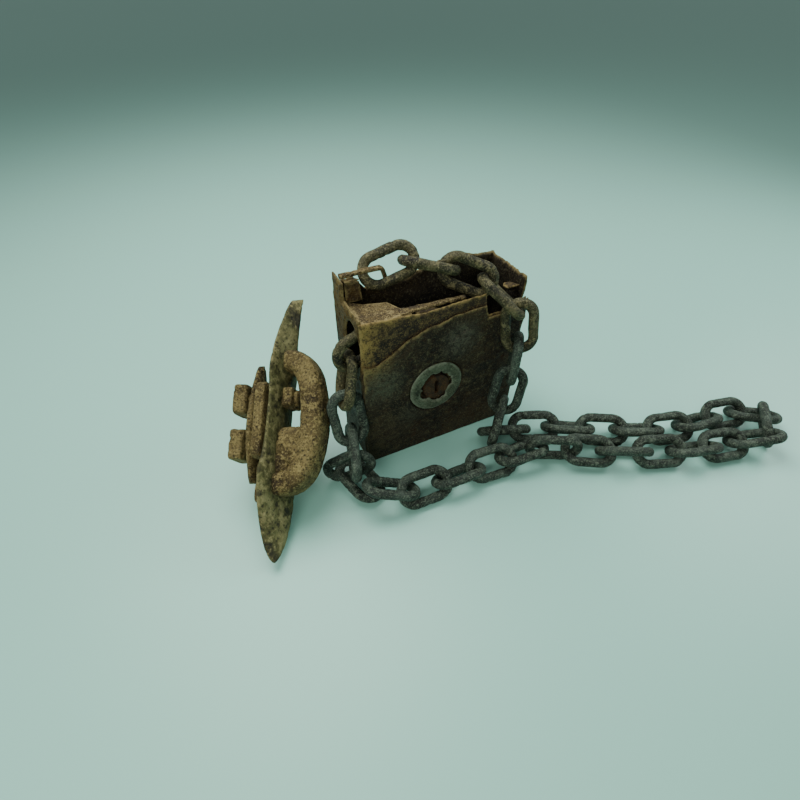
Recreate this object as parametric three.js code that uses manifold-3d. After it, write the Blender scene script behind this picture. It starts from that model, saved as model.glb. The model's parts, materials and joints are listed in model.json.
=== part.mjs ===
// A box-shaped chain padlock with its welded chain and a cast post anchor, in millimetres, +Z up.
// The origin is the centre of the case's bottom face. X runs along the case, Y from its front to its back.

import * as THREE from "three";
import { mergeVertices } from "three/addons/utils/BufferGeometryUtils.js";
import Module from "manifold-3d";

const wasm = await Module();
wasm.setup();

const RAD = Math.PI / 180;

// Case
const CASE_W = 100;
const CASE_D = 38;
const CASE_H = 100;
const WALL = 2.4;
const FRONT_T = 1.7; // inner front sheet
const SKIN_T = 1.5; // outer front skin
const GAP = 0.3; // between pieces that touch
const TOP_T = 2.2; // what is left of the top plate
const TOP_LEN = 27;
const TOP_DROP = 3; // the top plate's face below the rim
const HOOD_W = 17; // the walls stand higher at the back left corner
const HOOD_D = 13.5;
const HOOD_RISE = 5;
const STRAP_Z = 112; // top of the strap that holds the chain's last link
const STRAP_W = 3.2;
const STRAP_T = 2.4;
const STRAP_ROUTE = [
  [-47.5, 10],
  [-25, 10],
]; // x and y along its level part
const STRAP_FOOT = [-19.5, 94]; // x and z where it meets the back wall
const SLOT_W = 21; // chain slot in the left wall
const SLOT_H = 28;
const SLOT_Y = -4.5;
const SLOT_Z = 79;
const NOTCH_W = 18; // worn into the front rim by the chain
const NOTCH_Z = 83;
const NOTCH_X = 33.5;

// Lock cylinder
const CYL_X = -6;
const CYL_Z = 45;
const ROSE_D = 33.5;
const ROSE_T = 1.9;
const PLUG_D = 16;
const BARREL_D = 22;
const BARREL_L = 14;
const RUN = 0.4; // radial clearance of what turns or slides
const KEYWAY_W = 2.4;
const KEYWAY_H = 9.5;
const KEYWAY_L = 11;
const TAIL_SIZE = 6.5;
const CAM_T = 3;
const CAM_ARM = 9; // plug axis to cam pin
const CAM_PIN_D = 5;
const CAM_REST = 45 * RAD; // the arm stands this far above level when locked
const PIN_PLAY = 0.8; // cam pin in its fork, each side

// Locking bolt
const BOLT_SIZE = 6.2;
const BOLT_TIP = 8; // above the held link's centre
const FORK_T = 3;
const GUIDE_T = 5;
const GUIDE_SIZE = 11;
const GUIDE_GAP = 1.4; // held link to each guide
const SPRING_WIRE = 1.3;
const SPRING_TURNS = 7;
const SPRING_CLEAR = 0.6;
const BOLT_SHIFT = 9; // bolt's axis from the inside of the held link's bow
const PILLAR_D = 8;
const PILLAR_X = 38;
const PILLAR_Z = 16;

// Chain
const WIRE_D = 5.7;
const PITCH = 22.5; // a link's inner length
const LINK_IN_W = 9.2; // a link's inner width
const LINK_SIDES = 8;
const LINK_STEPS = 12;

// Post anchor: local x runs from the bolt heads to the eye, y from horn to horn, z across the palm
const ANCHOR_L = 145;
const PALM_W = 40;
const PALM_T = 6.5;
const EYE_L = 80;
const EYE_OUT = 25;
const EYE_W = 19;
const EYE_BAR = 13; // thickness of the bow
const SLAB_L = 42;
const SLAB_W = 26;
const SLAB_T = 6;
const CLAMP_L = 66;
const CLAMP_W = 21;
const CLAMP_T = 6.5;
const BOLT_D = 9.5;
const BOLT_SPACING = 25;
const HEAD_AF = 17.5;
const HEAD_T = 8.5;
const NUT_AF = 15;
const NUT_T = 6;
const BOLT_PROUD = 1.5; // bolt beyond its nut
const FOOT_L = 22;
const FOOT_W = 12;
const FOOT_T = 5.5;
const ANCHOR_AT = [-94.2, -2.2, 40.3];
const ANCHOR_ALONG = [0.379, 0.766, 0.517]; // towards the far horn
const ANCHOR_ROLL = -12; // degrees that the palm's face leans, up for more

// Each link's place, in order from the locking bolt: centre x, y, z, then its heading, its rise and
// its roll about its own length, in degrees. A roll of 0 lies flat.
const LINKS = [
  [-25, -4.5, 80, 180, -2, 0],
  [-46, -6.5, 78.5, -170, -16, -85],
  [-57, -11, 63, -132, -64, 50],
  [-60.5, -19, 43.5, -88, -68, 5],
  [-62.5, -28, 26, -106, -36, 85],
  [-65.5, -27, 14.5, 148, -38, 85],
  [-61.5, -32.5, 6.5, -72, -10, -10],
  [-50, -50, 12, -18, -18, -25],
  [-31.5, -55, 8.5, -2, 0, 40],
  [-10, -56, 8, -2, 0, -35],
  [11.5, -57, 8.5, -6, 0, 40],
  [32, -58.5, 9, -6, 4, -25],
  [50.5, -65, 10.5, -28, 0, -85],
  [69, -75, 9, -28, -4, 25],
  [87.5, -85, 9, -28, 0, -50],
  [107, -94, 8.5, -22, 0, 40],
  [127, -102, 8.5, -16, 0, -40],
  [147, -107, 7.5, -14, -2, 30],
  [166.5, -112.5, 9.5, -28, 16, -30],
  [183, -108, 10, 42, 0, 65],
  [187.5, -97.5, 7, 144, 0, 25],
  [169.5, -89.5, 8.5, 168, 2, -40],
  [148.5, -86.5, 8, 176, 2, 35],
  [127.5, -82.5, 8, 164, 0, -35],
  [108.5, -74.5, 8, 156, 2, 35],
  [89, -65, 8, 150, 0, -35],
  [71, -54, 8, 150, 0, 35],
  [52, -44.5, 8.5, 158, 2, -40],
  [33, -39, 9, 158, 0, 50],
  [28.5, -37, 17.5, 42, 38, -85],
  [35.5, -32, 36, 26, 76, 25],
  [38.5, -29.5, 57, 44, 86, -80],
  [39, -27.5, 78, 114, 80, -55],
  [30.5, -18.5, 94, 122, 32, 30],
  [17, -5.5, 103.5, 148, 20, -80],
  [-1, 4.5, 108.5, 158, 14, 25],
  [-21, 11.5, 110, 174, -16, -50],
];

// ---------------------------------------------------------------- solids

function toSolid(geometry) {
  const g = geometry.clone();
  g.deleteAttribute("normal");
  g.deleteAttribute("uv");
  const merged = mergeVertices(g, 1e-4);
  return new wasm.Manifold(
    new wasm.Mesh({
      numProp: 3,
      vertProperties: merged.attributes.position.array,
      triVerts: new Uint32Array(merged.index.array),
    }),
  );
}

function toGeometry(solid) {
  const made = solid.getMesh();
  const g = new THREE.BufferGeometry();
  g.setAttribute("position", new THREE.BufferAttribute(new Float32Array(made.vertProperties), 3));
  g.setIndex(new THREE.BufferAttribute(new Uint32Array(made.triVerts), 1));
  const flat = g.toNonIndexed();
  flat.computeVertexNormals();
  return flat;
}

function box(x0, x1, y0, y1, z0, z1) {
  const g = new THREE.BoxGeometry(x1 - x0, y1 - y0, z1 - z0);
  g.translate((x0 + x1) / 2, (y0 + y1) / 2, (z0 + z1) / 2);
  return toSolid(g);
}

// A round bar along Y between two depths.
function barY(d, x, z, y0, y1, sides = 28) {
  const g = new THREE.CylinderGeometry(d / 2, d / 2, y1 - y0, sides);
  g.translate(x, (y0 + y1) / 2, z);
  return toSolid(g);
}

// A round bar along X between two places.
function barX(d, y, z, x0, x1, sides = 24) {
  const g = new THREE.CylinderGeometry(d / 2, d / 2, x1 - x0, sides);
  g.rotateZ(Math.PI / 2);
  g.translate((x0 + x1) / 2, y, z);
  return toSolid(g);
}

// A plate cut to an outline of [x, z] points, between two depths.
function plateY(points, y0, y1) {
  const shape = new THREE.Shape(points.map(([x, z]) => new THREE.Vector2(x, z)));
  const g = new THREE.ExtrudeGeometry(shape, { depth: y1 - y0, bevelEnabled: false, curveSegments: 12 });
  g.rotateX(Math.PI / 2);
  g.translate(0, y1, 0);
  return toSolid(g);
}

// A plate cut to an outline of [y, z] points in the YZ plane, between two places along X.
function plateX(points, x0, x1) {
  const shape = new THREE.Shape(points.map(([y, z]) => new THREE.Vector2(y, z)));
  const g = new THREE.ExtrudeGeometry(shape, { depth: x1 - x0, bevelEnabled: false });
  g.rotateX(Math.PI / 2);
  g.rotateZ(Math.PI / 2);
  g.translate(x0, 0, 0);
  return toSolid(g);
}

function paint(color, roughness, metalness) {
  return new THREE.MeshStandardMaterial({ color, roughness, metalness });
}

const rustCase = () => paint(0x3d3424, 0.9, 0.35);
const rustInner = () => paint(0x8a7440, 0.9, 0.2);
const steelInner = () => paint(0x6d6a62, 0.6, 0.8);
const roseFinish = () => paint(0x77806f, 0.6, 0.6);
const castFinish = () => paint(0x8a7a52, 0.9, 0.25);
const boltFinish = () => paint(0x7c6f4c, 0.85, 0.35);
const chainFinish = () => paint(0x4c5248, 0.8, 0.5);

const part = new THREE.Group();

function add(name, solid, material) {
  const mesh = new THREE.Mesh(toGeometry(solid), material);
  mesh.name = name;
  part.add(mesh);
  return mesh;
}

// ---------------------------------------------------------------- case

const LEFT = -CASE_W / 2;
const RIGHT = CASE_W / 2;
const FRONT = -CASE_D / 2;
const BACK = CASE_D / 2;
const SKIN_BACK = FRONT + SKIN_T;
const PLATE_FRONT = SKIN_BACK + GAP;
const PLATE_BACK = PLATE_FRONT + FRONT_T;
const TRAY_FRONT = PLATE_BACK + GAP;

// Back wall, side walls and floor folded from one sheet, higher where the chain's end is held.
function rearCase() {
  const back = plateY(
    [
      [LEFT, 0],
      [RIGHT, 0],
      [RIGHT, CASE_H],
      [RIGHT - 12, CASE_H + 0.5],
      [RIGHT - 20, CASE_H + 3],
      [RIGHT - 42, CASE_H + 2],
      [RIGHT - 62, CASE_H - 2],
      [LEFT + HOOD_W, CASE_H - 3],
      [LEFT + HOOD_W, CASE_H + HOOD_RISE],
      [LEFT, CASE_H + HOOD_RISE],
    ],
    BACK - WALL,
    BACK,
  );
  const sideOutline = (rise) => [
    [TRAY_FRONT, 0],
    [BACK, 0],
    [BACK, CASE_H + rise],
    [BACK - HOOD_D, CASE_H + rise],
    [BACK - HOOD_D, CASE_H],
    [TRAY_FRONT, CASE_H],
  ];
  const left = plateX(sideOutline(STRAP_Z - STRAP_T - GAP - CASE_H), LEFT, LEFT + WALL);
  const right = plateX(sideOutline(0.01), RIGHT - WALL, RIGHT);
  const floor = box(LEFT, RIGHT, TRAY_FRONT, BACK, 0, WALL);
  const slot = new THREE.CylinderGeometry(SLOT_W / 2, SLOT_W / 2, 3 * WALL, 12);
  slot.rotateZ(Math.PI / 2);
  slot.scale(1, 1, SLOT_H / SLOT_W);
  slot.translate(LEFT + WALL / 2, SLOT_Y, SLOT_Z);
  return back.add(left).add(right).add(floor).subtract(toSolid(slot));
}

// The dip that the chain has worn in the front rim, from right to left below a rim at z.
function notch(z) {
  const h = NOTCH_W / 2;
  return [
    [NOTCH_X + h + 2, z],
    [NOTCH_X + h, NOTCH_Z],
    [NOTCH_X - h, NOTCH_Z],
    [NOTCH_X - h - 2, z],
  ];
}

// The sheet behind the skin, which carries the lock cylinder.
function frontPlate() {
  const outline = [
    [LEFT, 0],
    [RIGHT, 0],
    [RIGHT, CASE_H - 1],
    ...notch(CASE_H - 3),
    [RIGHT - 62, CASE_H - 4],
    [LEFT, CASE_H - 1],
  ];
  const hole = barY(PLUG_D + 2 * RUN, CYL_X, CYL_Z, PLATE_FRONT - 1, PLATE_BACK + 1);
  return plateY(outline, PLATE_FRONT, PLATE_BACK).subtract(hole);
}

// The outer skin, its upper left corner eaten away in a curve.
function outerSkin() {
  const outline = [
    [LEFT, 0],
    [RIGHT, 0],
    [RIGHT, CASE_H - 3],
    ...notch(CASE_H - 9),
    [RIGHT - 50, CASE_H - 10],
    [LEFT + 32, CASE_H - 14],
    [LEFT + 20, CASE_H - 20],
    [LEFT + 8, CASE_H - 27],
    [LEFT, CASE_H - 26],
  ];
  const hole = barY(ROSE_D + 2 * RUN, CYL_X, CYL_Z, FRONT - 1, SKIN_BACK + 1, 32);
  return plateY(outline, FRONT, SKIN_BACK).subtract(hole);
}

// The end of the top plate that rust has left, resting between the walls.
function topPlate() {
  const x0 = LEFT + WALL + GAP;
  const z1 = CASE_H - TOP_DROP;
  const g = new THREE.Shape();
  g.moveTo(x0, TRAY_FRONT + GAP);
  g.lineTo(x0 + TOP_LEN, TRAY_FRONT + GAP);
  g.lineTo(x0 + TOP_LEN - 7, TRAY_FRONT + 15);
  g.lineTo(x0 + 7, TRAY_FRONT + 19);
  g.lineTo(x0, TRAY_FRONT + 24);
  const plate = new THREE.ExtrudeGeometry(g, { depth: TOP_T, bevelEnabled: false });
  plate.translate(0, 0, z1 - TOP_T);
  return toSolid(plate);
}

// A bent strap from the left wall to the back wall, which passes through the chain's last link.
function chainStrap() {
  const w = STRAP_W / 2;
  const z0 = STRAP_Z - STRAP_T;
  const [start, bend] = STRAP_ROUTE.map(([x, y]) => box(x - w, x + w, y - w, y + w, z0, STRAP_Z));
  const [x, z] = STRAP_FOOT;
  const wall = BACK - WALL - GAP;
  const foot = box(x - w, x + w, wall - STRAP_T / 2, wall, z - w, z + w);
  return wasm.Manifold.hull([start, bend]).add(wasm.Manifold.hull([bend, foot]));
}

add("rear_case", rearCase(), rustCase());
add("front_plate", frontPlate(), rustInner());
add("outer_skin", outerSkin(), rustCase());
add("top_plate", topPlate(), rustInner());
add("chain_strap", chainStrap(), rustInner());

// ---------------------------------------------------------------- lock cylinder

const roseFront = PLATE_FRONT - GAP - ROSE_T;
const barrelBack = PLATE_BACK + GAP + BARREL_L;
const camFront = barrelBack + GAP;
const camBack = camFront + CAM_T;

function cylinderRose() {
  const disc = barY(ROSE_D, CYL_X, CYL_Z, roseFront, PLATE_FRONT - GAP, 32);
  return disc.subtract(barY(PLUG_D + 2 * RUN, CYL_X, CYL_Z, roseFront - 1, PLATE_FRONT));
}

function cylinderBarrel() {
  const tube = barY(BARREL_D, CYL_X, CYL_Z, PLATE_BACK + GAP, barrelBack);
  return tube.subtract(barY(PLUG_D + 2 * RUN, CYL_X, CYL_Z, PLATE_BACK, barrelBack + 1));
}

function squareBar(size, y0, y1) {
  const h = size / 2;
  return box(CYL_X - h, CYL_X + h, y0, y1, CYL_Z - h, CYL_Z + h);
}

function keyPlug() {
  const round = barY(PLUG_D, CYL_X, CYL_Z, roseFront + GAP, barrelBack - GAP);
  const tail = squareBar(TAIL_SIZE, barrelBack - 1, camBack);
  const w = KEYWAY_W / 2;
  const h = KEYWAY_H / 2;
  const slot = box(CYL_X - w, CYL_X + w, roseFront - 1, roseFront + KEYWAY_L, CYL_Z - h, CYL_Z + h);
  return round.add(tail).subtract(slot);
}

const camPinX = CYL_X - CAM_ARM * Math.cos(CAM_REST);
const camPinZ = CYL_Z + CAM_ARM * Math.sin(CAM_REST);
const forkBack = camBack + GAP + FORK_T;

// A lever on the plug's tail, with a pin that works the bolt's fork.
function driveCam() {
  const arm = new THREE.BoxGeometry(CAM_ARM, CAM_T, CAM_PIN_D + 3);
  arm.translate(-CAM_ARM / 2, 0, 0);
  arm.rotateY(CAM_REST);
  arm.translate(CYL_X, (camFront + camBack) / 2, CYL_Z);
  const hub = barY(TAIL_SIZE * 2.2, CYL_X, CYL_Z, camFront, camBack);
  const boss = barY(CAM_PIN_D + 3, camPinX, camPinZ, camFront, camBack, 20);
  const pin = barY(CAM_PIN_D, camPinX, camPinZ, camFront, forkBack + 0.5, 20);
  return hub.add(toSolid(arm)).add(boss).add(pin).subtract(squareBar(TAIL_SIZE + 2 * GAP, camFront - 1, camBack + 1));
}

add("cylinder_rose", cylinderRose(), roseFinish());
add("cylinder_barrel", cylinderBarrel(), steelInner());
add("key_plug", keyPlug(), rustInner());
add("drive_cam", driveCam(), steelInner());

// ---------------------------------------------------------------- bolt work

// The inside of one of a link's bows: the one it heads for (1) or the other (-1).
function bowPoint([x, y, z, heading, rise], end) {
  const along = new THREE.Vector3(1, 0, 0).applyEuler(new THREE.Euler(0, -rise * RAD, heading * RAD, "ZYX"));
  return new THREE.Vector3(x, y, z).addScaledVector(along, (end * PITCH) / 2);
}

// The bolt stands in the window of the first link.
const held = bowPoint(LINKS[0], -1);
const boltX = held.x - BOLT_SHIFT;
const boltY = held.y;
const forkFront = camBack + GAP;
const forkHalf = CAM_PIN_D / 2 + PIN_PLAY;
const forkHigh = forkHalf + 3.2;
const boltFoot = camPinZ - forkHigh;

function boltShaft(clear, z0, z1) {
  const h = BOLT_SIZE / 2 + clear;
  return box(boltX - h, boltX + h, boltY - h, boltY + h, z0, z1);
}

// A square bolt with a foot that reaches back to the cam and ends in a fork.
function lockingBolt() {
  const h = BOLT_SIZE / 2;
  const shaft = boltShaft(0, boltFoot, held.z + BOLT_TIP);
  const reach = box(boltX - h, boltX + h, boltY - h, forkBack, boltFoot, camPinZ + forkHigh);
  const right = Math.max(camPinX + forkHalf, boltX + h + 1);
  const left = Math.min(CYL_X - CAM_ARM - forkHalf - 2, boltX - h);
  const fork = box(left, right, forkFront, forkBack, boltFoot, camPinZ + forkHigh);
  const mouth = box(
    CYL_X - CAM_ARM - forkHalf,
    right + 1,
    forkFront - 1,
    forkBack + 1,
    camPinZ - forkHalf,
    camPinZ + forkHalf,
  );
  return shaft.add(reach.subtract(mouth)).add(fork.subtract(mouth));
}

function boltGuide(z0) {
  const h = GUIDE_SIZE / 2;
  const block = box(boltX - h, boltX + h, PLATE_BACK + GAP, boltY + h, z0, z0 + GUIDE_T);
  return block.subtract(boltShaft(RUN, z0 - 1, z0 + GUIDE_T + 1));
}

// A compression spring between the case's floor and the bolt's foot, with closed ends.
function boltSpring() {
  const r = BOLT_SIZE / 2 - SPRING_WIRE / 2;
  const low = WALL + GAP + SPRING_WIRE / 2;
  const high = boltFoot - GAP - SPRING_WIRE / 2;
  const steps = SPRING_TURNS * 10;
  const points = [];
  for (let i = 0; i <= steps; i += 1) {
    const t = i / steps;
    const a = t * SPRING_TURNS * 2 * Math.PI;
    points.push(new THREE.Vector3(boltX + r * Math.cos(a), boltY + r * Math.sin(a), low + t * (high - low)));
  }
  const section = new THREE.Shape();
  section.absarc(0, 0, SPRING_WIRE / 2, 0, 2 * Math.PI);
  const path = new THREE.CatmullRomCurve3(points);
  return toSolid(new THREE.ExtrudeGeometry(section, { steps, extrudePath: path, curveSegments: 3 }));
}

function pillar() {
  return barY(PILLAR_D, PILLAR_X, PILLAR_Z, PLATE_BACK + GAP, BACK - WALL - GAP, 16);
}

add("locking_bolt", lockingBolt(), steelInner());
const guideOffset = WIRE_D / 2 + GUIDE_GAP;
add("bolt_guide_upper", boltGuide(held.z + guideOffset), steelInner());
add("bolt_guide_lower", boltGuide(held.z - guideOffset - GUIDE_T), steelInner());
add("bolt_spring", boltSpring(), steelInner());
add("case_pillar", pillar(), steelInner());

// ---------------------------------------------------------------- chain

const bowR = (LINK_IN_W + WIRE_D) / 2;
const linkHalf = (PITCH - LINK_IN_W) / 2;

// A torus whose two halves are drawn apart, so the two rows of faces between them become the straights.
function linkGeometry() {
  const g = new THREE.TorusGeometry(bowR, WIRE_D / 2, LINK_SIDES, LINK_STEPS);
  g.rotateZ(Math.PI / LINK_STEPS);
  const at = g.getAttribute("position");
  for (let i = 0; i < at.count; i += 1) at.setX(i, at.getX(i) + Math.sign(at.getX(i)) * linkHalf);
  return toGeometry(toSolid(g));
}

const link = linkGeometry();
LINKS.forEach(([x, y, z, heading, rise, roll], i) => {
  const mesh = new THREE.Mesh(link, chainFinish());
  mesh.name = `chain_link_${String(i + 1).padStart(2, "0")}`;
  mesh.position.set(x, y, z);
  mesh.rotation.set(roll * RAD, -rise * RAD, heading * RAD, "ZYX");
  part.add(mesh);
});

// ---------------------------------------------------------------- post anchor

const anchor = new THREE.Group();
const alongHorns = new THREE.Vector3(...ANCHOR_ALONG).normalize();
anchor.position.set(...ANCHOR_AT);
{
  const flatX = alongHorns.clone().cross(new THREE.Vector3(0, 0, 1)).normalize();
  flatX.applyAxisAngle(alongHorns, ANCHOR_ROLL * RAD);
  anchor.quaternion.setFromRotationMatrix(
    new THREE.Matrix4().makeBasis(flatX, alongHorns, flatX.clone().cross(alongHorns)),
  );
}
part.add(anchor);

function addToAnchor(name, solid, material) {
  const mesh = new THREE.Mesh(toGeometry(solid), material);
  mesh.name = name;
  anchor.add(mesh);
}

// A leaf outline in the YZ plane: full width in the middle, drawn out to a point at each end.
function leaf(length, width, x0, x1, blunt, belly) {
  const l = length / 2;
  const w = width / 2;
  const shape = new THREE.Shape();
  shape.moveTo(-l, -blunt);
  shape.bezierCurveTo(-l * 0.7, -w * belly, -l * 0.45, -w, 0, -w);
  shape.bezierCurveTo(l * 0.45, -w, l * 0.7, -w * belly, l, -blunt);
  shape.lineTo(l, blunt);
  shape.bezierCurveTo(l * 0.7, w * belly, l * 0.45, w, 0, w);
  shape.bezierCurveTo(-l * 0.45, w, -l * 0.7, w * belly, -l, blunt);
  const g = new THREE.ExtrudeGeometry(shape, { depth: x1 - x0, bevelEnabled: false, curveSegments: 7 });
  g.rotateX(Math.PI / 2);
  g.rotateZ(Math.PI / 2);
  g.translate(x0, 0, 0);
  return toSolid(g);
}

// A D-shaped outline in the XY plane, extruded across the palm.
function dShape(length, out, width, x0) {
  const l = length / 2;
  const shape = new THREE.Shape();
  shape.moveTo(x0, -l);
  shape.bezierCurveTo(x0 + out * 0.9, -l * 0.98, x0 + out, -l * 0.62, x0 + out, 0);
  shape.bezierCurveTo(x0 + out, l * 0.62, x0 + out * 0.9, l * 0.98, x0, l);
  const g = new THREE.ExtrudeGeometry(shape, { depth: width, bevelEnabled: false, curveSegments: 10 });
  g.translate(0, 0, -width / 2);
  return toSolid(g);
}

const boltPlaces = [BOLT_SPACING / 2, -BOLT_SPACING / 2];
const palmBack = -PALM_T / 2;
const slabFront = palmBack - GAP;
const clampFront = slabFront - SLAB_T - GAP;
const headFront = clampFront - CLAMP_T - GAP;

function boltHoles(clear, x0, x1) {
  return boltPlaces
    .map((y) => barX(BOLT_D + 2 * clear, y, 0, x0, x1))
    .reduce((a, b) => a.add(b));
}

// The palm with its two horns, and the eye that bows out from its face.
function anchorEye() {
  const palm = leaf(ANCHOR_L, PALM_W, palmBack, -palmBack, 1.2, 0.55);
  const bow = dShape(EYE_L, EYE_OUT, EYE_W, -palmBack - 1);
  const window = dShape(EYE_L - 2 * EYE_BAR, EYE_OUT - EYE_BAR, EYE_W + 2, -palmBack - 1);
  return palm.add(bow.subtract(window)).subtract(boltHoles(RUN, palmBack - 1, -palmBack + 1));
}

function backingSlab() {
  const w = SLAB_W / 2;
  const l = SLAB_L / 2;
  return box(slabFront - SLAB_T, slabFront, -l, l, -w, w).subtract(
    boltHoles(RUN, slabFront - SLAB_T - 1, slabFront + 1),
  );
}

function clampBar() {
  return leaf(CLAMP_L, CLAMP_W, clampFront - CLAMP_T, clampFront, 2.5, 0.7).subtract(
    boltHoles(RUN, clampFront - CLAMP_T - 1, clampFront + 1),
  );
}

// A square-headed bolt right through the stack, with its nut run up inside the eye.
function squareBolt(y) {
  const head = HEAD_AF / 2;
  const nut = NUT_AF / 2;
  const nutStart = -palmBack + GAP;
  return barX(BOLT_D, y, 0, headFront - 1, nutStart + NUT_T + BOLT_PROUD)
    .add(box(headFront - HEAD_T, headFront, y - head, y + head, -head, head))
    .add(box(nutStart, nutStart + NUT_T, y - nut * 0.75, y + nut * 0.75, -nut, nut));
}

// A short wedge under the slab's near end.
function footWedge() {
  const y0 = -SLAB_L / 2 - GAP - FOOT_L;
  return box(palmBack - GAP - FOOT_T, palmBack - GAP, y0, y0 + FOOT_L, -FOOT_W / 2, FOOT_W / 2);
}

addToAnchor("anchor_eye", anchorEye(), castFinish());
addToAnchor("backing_slab", backingSlab(), castFinish());
addToAnchor("clamp_bar", clampBar(), castFinish());
addToAnchor("square_bolt_upper", squareBolt(boltPlaces[0]), boltFinish());
addToAnchor("square_bolt_lower", squareBolt(boltPlaces[1]), boltFinish());
addToAnchor("foot_wedge", footWedge(), castFinish());

export default part;
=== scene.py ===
import json

import bmesh
import bpy
import numpy as np
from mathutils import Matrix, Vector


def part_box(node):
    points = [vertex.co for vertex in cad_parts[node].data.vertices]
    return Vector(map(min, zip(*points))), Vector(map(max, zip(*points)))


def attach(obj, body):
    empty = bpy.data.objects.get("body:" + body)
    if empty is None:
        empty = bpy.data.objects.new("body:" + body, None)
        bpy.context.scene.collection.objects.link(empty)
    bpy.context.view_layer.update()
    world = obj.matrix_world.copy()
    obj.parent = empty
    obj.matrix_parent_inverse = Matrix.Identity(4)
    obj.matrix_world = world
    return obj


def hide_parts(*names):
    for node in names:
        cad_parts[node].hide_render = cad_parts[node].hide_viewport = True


mm = 0.001
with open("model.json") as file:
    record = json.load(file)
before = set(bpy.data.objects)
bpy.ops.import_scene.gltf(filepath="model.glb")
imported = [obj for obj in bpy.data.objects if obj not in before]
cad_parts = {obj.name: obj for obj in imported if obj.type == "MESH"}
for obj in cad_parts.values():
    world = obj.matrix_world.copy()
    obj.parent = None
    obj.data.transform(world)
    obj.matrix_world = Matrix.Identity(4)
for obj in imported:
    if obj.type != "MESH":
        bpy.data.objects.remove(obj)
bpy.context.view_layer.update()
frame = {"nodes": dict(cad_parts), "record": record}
nodes = frame["nodes"]
joints = {j["name"]: j for j in frame["record"]["behaviour"]["joints"]}

# Camera, light and table.

view = {"place": (-115.4, -193.8, 229.0), "tilt": 46.5, "turn": -26.2, "lens": 21.6}
camera = bpy.data.objects.new("camera", bpy.data.cameras.new("camera"))
camera.location = [v * mm for v in view["place"]]
camera.rotation_euler = (np.radians(view["tilt"]), 0, np.radians(view["turn"]))
camera.data.lens = view["lens"]
camera.data.sensor_width = 36
camera.data.clip_start = 0.005
bpy.context.scene.collection.objects.link(camera)
bpy.context.scene.camera = camera


def linear(hexColour):  # sRGB hex to linear red, green, blue, alpha
    parts = [int(hexColour[i : i + 2], 16) / 255 for i in (1, 3, 5)]
    return [c / 12.92 if c < 0.04045 else ((c + 0.055) / 1.055) ** 2.4 for c in parts] + [1]


lamps = [  # name, place and aim in mm, size in mm, watts, colour
    ("lampOver", (-60, 260, 620), (30, 0, 40), 520, 6.0, "#fffdf8"),
    ("lampFront", (-420, -420, 420), (0, -20, 50), 380, 2.4, "#fffaf0"),
    ("lampRight", (520, -60, 360), (40, 0, 50), 320, 1.5, "#f8fffb"),
]
for name, place, aim, size, watts, tint in lamps:
    light = bpy.data.lights.new(name, "AREA")
    light.size = size * mm
    light.energy = watts
    light.color = linear(tint)[:3]
    lamp = bpy.data.objects.new(name, light)
    lamp.location = [v * mm for v in place]
    back = np.array(place, float) - np.array(aim, float)
    lamp.rotation_euler = (np.arctan2(np.hypot(back[0], back[1]), back[2]), 0,
                           np.arctan2(back[0], -back[1]))
    bpy.context.scene.collection.objects.link(lamp)
world = bpy.data.worlds.new("studio")
world.use_nodes = True
world.node_tree.nodes["Background"].inputs[0].default_value = linear("#d3dfdb")
world.node_tree.nodes["Background"].inputs[1].default_value = 0.34
bpy.context.scene.world = world
print("camera and lights placed")

# Noise, worked out with whole arrays.


def lattice(p, seed):
    # Pseudo-random number from 0 to 1 for each whole-number point, by mixing its coordinates.
    q = p.astype(np.int64)
    n = (q[..., 0] * 73856093) ^ (q[..., 1] * 19349663) ^ (q[..., 2] * 83492791) ^ (seed * 2654435761)
    n &= 0xFFFFFFFF
    n = ((n ^ (n >> 13)) * 1274126177) & 0xFFFFFFFF
    n = ((n ^ (n >> 16)) * 668265263) & 0xFFFFFFFF
    return ((n >> 8) & 0xFFFF) / 65535.0


def smoothNoise(p, cell, seed):
    # Random values on a lattice of this cell size, eased between the eight corners round each point.
    q = np.asarray(p) / cell
    base = np.floor(q)
    f = q - base
    f = f * f * (3 - 2 * f)
    total = 0
    for dx in (0, 1):
        for dy in (0, 1):
            for dz in (0, 1):
                weight = (
                    (f[..., 0] if dx else 1 - f[..., 0])
                    * (f[..., 1] if dy else 1 - f[..., 1])
                    * (f[..., 2] if dz else 1 - f[..., 2])
                )
                total = total + weight * lattice(base + np.array([dx, dy, dz]), seed)
    return total


def roughNoise(p, cell, seed, octaves=3):
    # Sum of smooth noises, each half the size and half the height of the last, from -1 to 1.
    total, height, scale = 0, 1.0, 0
    for k in range(octaves):
        total = total + height * (smoothNoise(p, cell / 2**k, seed + k) * 2 - 1)
        scale += height
        height *= 0.5
    return total / scale


def pits(p, cell, seed, share=0.5):
    # Round pits: one centre in each cell, in a share of the cells; 1 at a pit's centre, 0 outside it.
    q = np.asarray(p) / cell
    base = np.floor(q)
    deepest = np.zeros(q.shape[:-1])
    for dx in (-1, 0, 1):
        for dy in (-1, 0, 1):
            for dz in (-1, 0, 1):
                c = base + np.array([dx, dy, dz])
                at = c + np.stack([lattice(c, seed + k) for k in (1, 2, 3)], -1)
                radius = 0.25 + 0.4 * lattice(c, seed + 4)
                d = np.linalg.norm(q - at, axis=-1) / radius
                there = lattice(c, seed + 5) < share
                deepest = np.maximum(deepest, np.where(there, np.clip(1 - d * d, 0, 1), 0))
    return deepest


def ease(x, low, high):
    t = np.clip((x - low) / (high - low), 0, 1)
    return t * t * (3 - 2 * t)


# Surfaces.


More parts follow.
